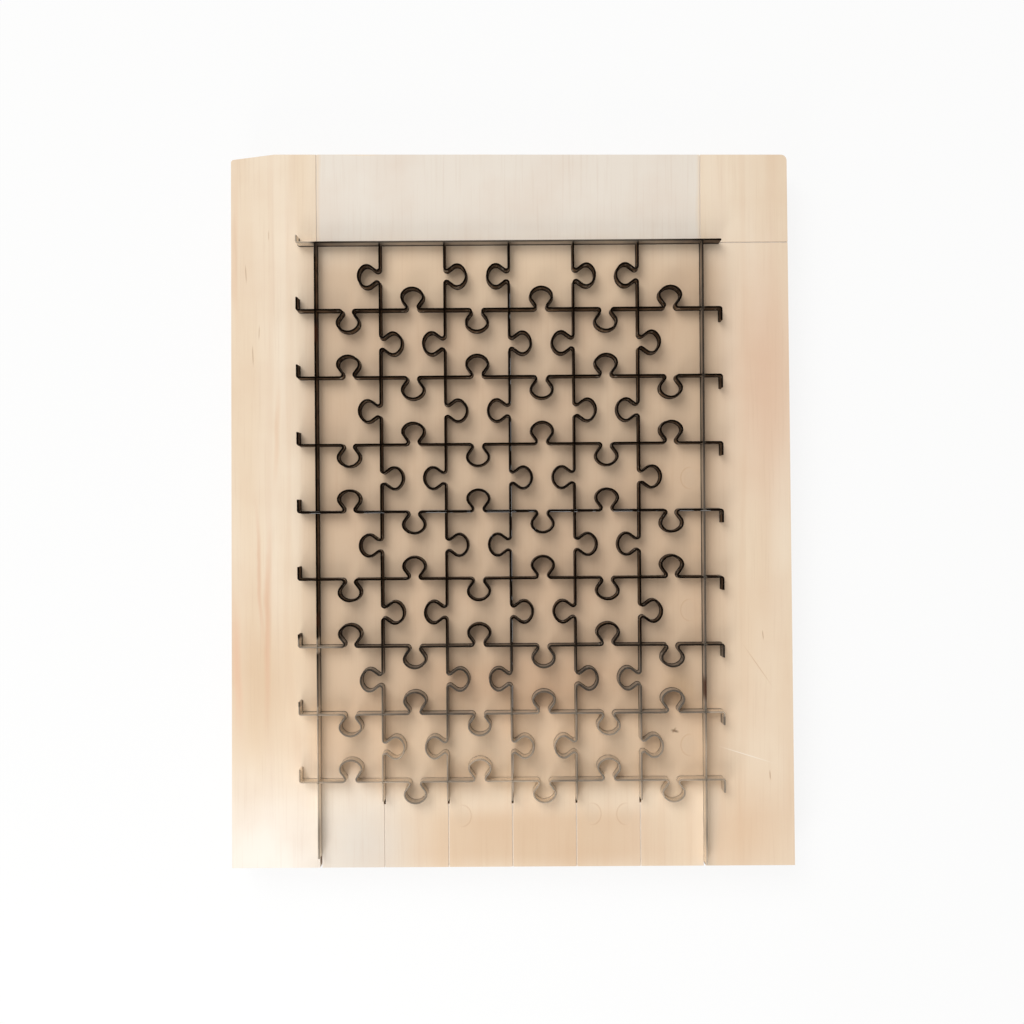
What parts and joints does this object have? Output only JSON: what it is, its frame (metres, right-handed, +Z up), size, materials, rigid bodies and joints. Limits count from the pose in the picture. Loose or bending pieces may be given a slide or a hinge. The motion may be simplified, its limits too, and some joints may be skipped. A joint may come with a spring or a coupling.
{
  "type": "steel rule die",
  "caption": "Plywood die board with thin dark steel rules standing on edge in a jigsaw pattern, to cut a sheet that is pressed onto their sharp upper edges.",
  "frame": {"origin": "middle of the board's box, on its underside", "axes": "+X across the board to the right, +Y along the board towards the straight top rule, +Z up through the cutting edges"},
  "size_m": [0.2202, 0.2794, 0.0238],
  "materials": {
    "plywood": "bare sanded plywood, matt, a little soiled",
    "rule_steel": "dark oxidised spring steel with bright rubbed edges"
  },
  "bodies": {
    "root": {"die_board": "plywood", "top_frame_rule": "rule_steel", "left_frame_rule": "rule_steel", "right_frame_rule": "rule_steel", "cross_rule_1": "rule_steel", "cross_rule_2": "rule_steel", "cross_rule_3": "rule_steel", "cross_rule_4": "rule_steel", "cross_rule_5": "rule_steel", "cross_rule_6": "rule_steel", "cross_rule_7": "rule_steel", "cross_rule_8": "rule_steel", "column_rule_1": "rule_steel", "column_rule_2": "rule_steel", "column_rule_3": "rule_steel", "column_rule_4": "rule_steel", "column_rule_5": "rule_steel"}
  },
  "joints": []
}
